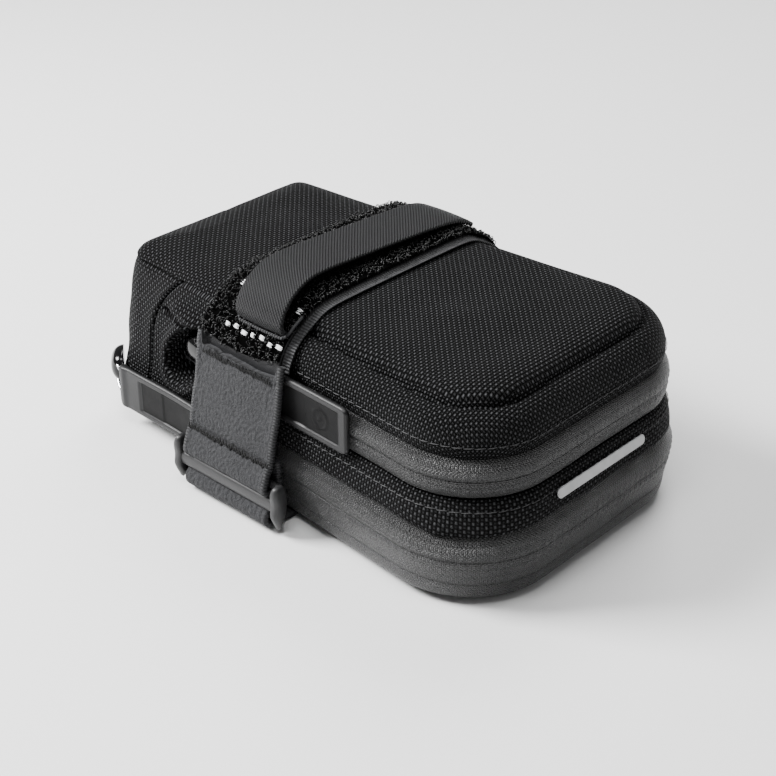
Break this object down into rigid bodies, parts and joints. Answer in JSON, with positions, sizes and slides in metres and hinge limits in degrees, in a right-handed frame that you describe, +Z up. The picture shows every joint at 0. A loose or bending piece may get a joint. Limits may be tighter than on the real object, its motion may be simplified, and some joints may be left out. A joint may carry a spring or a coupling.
{
  "type": "saddle bag",
  "caption": "Wedge-shaped bicycle saddle bag with two zipped compartments, a hook-and-loop strap, a ladder-lock buckle and a webbing band for the saddle rails.",
  "frame": {"origin": "underside of the strap where it passes flush under the base, on the bag's middle plane, so the ground is z = 0", "axes": "+X towards the rear of the bike, +Y to the right-hand side, +Z up"},
  "size_m": [0.1424, 0.0949, 0.0595],
  "materials": {
    "coarse_weave": "coarse ballistic weave",
    "coated_tape": "satin polyurethane coating",
    "nylon_coil": "satin",
    "lining": "plain lining over foam",
    "loop_pile": "looped pile",
    "microfibre": "brushed microfibre",
    "webbing": "fine twill webbing",
    "acetal": "satin moulded",
    "rubber": "satin moulded",
    "plated_metal": "bright plated wire",
    "painted_zinc": "gloss black"
  },
  "bodies": {
    "bag": {"base_front": "coated_tape", "body_band": "coarse_weave", "front_panel": "coarse_weave", "gusset_left": "coarse_weave", "gusset_right": "coarse_weave", "divider": "lining", "lid_front": "coarse_weave", "upper_tape_body": "coated_tape", "upper_tape_front_left": "coated_tape", "upper_tape_front_right": "coated_tape", "upper_coil_body": "nylon_coil", "lower_tape_body": "coated_tape", "lower_tape_front_left": "coated_tape", "lower_tape_front_right": "coated_tape", "lower_coil_body": "nylon_coil", "strap_top": "webbing", "strap_pile": "loop_pile", "strap_side": "microfibre", "strap_bottom": "webbing", "slot_binding": "webbing", "buckle": "acetal"},
    "lid": {"lid_rear": "coarse_weave", "upper_tape_lid": "coated_tape", "upper_coil_lid": "nylon_coil"},
    "base_leaf": {"base_rear": "coated_tape", "lower_tape_base": "coated_tape", "lower_coil_base": "nylon_coil"},
    "upper_zip": {"upper_slider": "painted_zinc", "upper_pull_loop": "plated_metal", "upper_puller": "rubber"},
    "lower_zip": {"lower_slider": "painted_zinc", "lower_pull_loop": "plated_metal", "lower_puller": "rubber"},
    "rail_strap": {"rail_webbing": "webbing"}
  },
  "joints": [
    {"name": "lid_hinge", "type": "hinge", "parent": "bag", "child": "lid", "pos_m": [0.0067, 0, 0.0529], "axis": [0, -1, 0], "range_deg": [0, 50]},
    {"name": "base_hinge", "type": "hinge", "parent": "bag", "child": "base_leaf", "pos_m": [0.0067, 0, -0.0001], "axis": [0, 1, 0], "range_deg": [0, 45]},
    {"name": "upper_zip_slide", "type": "slide", "parent": "bag", "child": "upper_zip", "axis": [0.9972, -0.075, 0], "range_m": [0, 0.012]},
    {"name": "lower_zip_slide", "type": "slide", "parent": "bag", "child": "lower_zip", "axis": [0.9972, -0.075, 0], "range_m": [0, 0.035]},
    {"name": "rail_strap_peel", "type": "hinge", "parent": "bag", "child": "rail_strap", "pos_m": [-0.0053, -0.0389, 0.0499], "axis": [1, 0, 0], "range_deg": [0, 100]}
  ]
}
